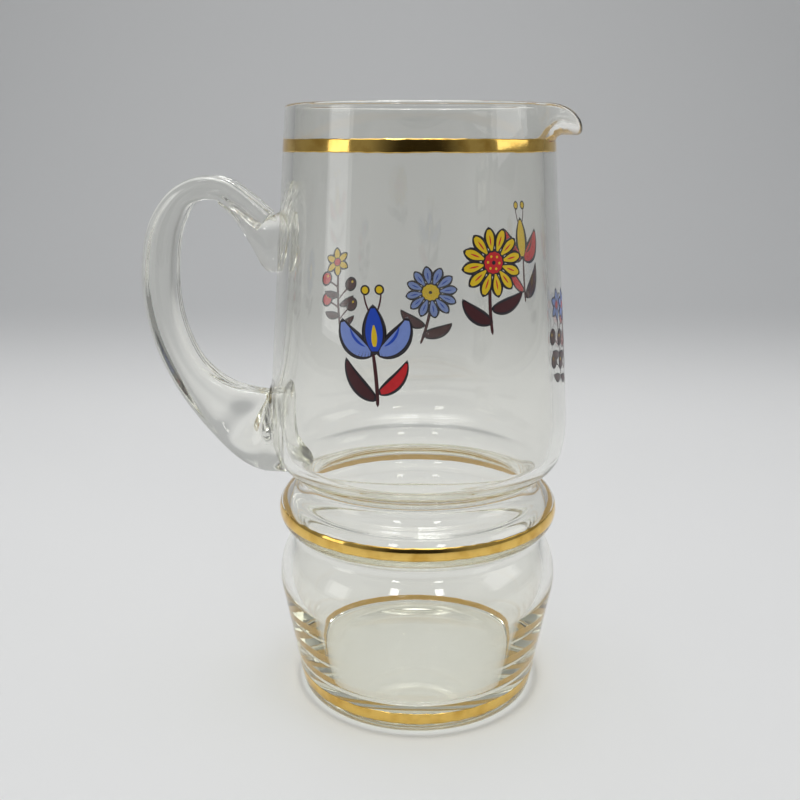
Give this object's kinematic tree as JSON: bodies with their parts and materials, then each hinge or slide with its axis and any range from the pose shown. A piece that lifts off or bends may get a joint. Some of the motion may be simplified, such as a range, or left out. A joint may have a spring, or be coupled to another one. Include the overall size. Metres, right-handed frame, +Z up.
{
  "type": "glass jug",
  "caption": "Clear blown-glass jug with a ringed waist, a bowl-shaped base, a pulled pouring lip, a looped glass handle, gilt bands and enamel flower sprays, for serving cold drinks.",
  "frame": {"origin": "centre of the foot, on the surface that the jug stands on", "axes": "+Z up along the jug's axis, +X towards the pouring lip, -X towards the handle"},
  "size_m": [0.181, 0.1282, 0.2532],
  "materials": {
    "clear_glass": "clear colourless fire-polished glass with faint ripples from blowing",
    "gilding": "thin burnished gold, rubbed at its edges",
    "blue_enamel": "fired blue enamel with maroon leaves and dark key lines",
    "yellow_enamel": "fired yellow enamel with maroon leaves and dark key lines",
    "red_enamel": "fired red enamel with maroon leaves and dark key lines"
  },
  "bodies": {
    "root": {"jug_body": "clear_glass", "jug_handle": "clear_glass", "rim_gilt_band": "gilding", "collar_gilt_band": "gilding", "foot_gilt_band": "gilding", "blue_tulip_spray": "blue_enamel", "yellow_daisy_spray": "yellow_enamel", "right_berry_spray": "red_enamel", "red_tulip_spray": "red_enamel", "blue_daisy_spray": "blue_enamel", "left_berry_spray": "red_enamel"}
  },
  "joints": []
}
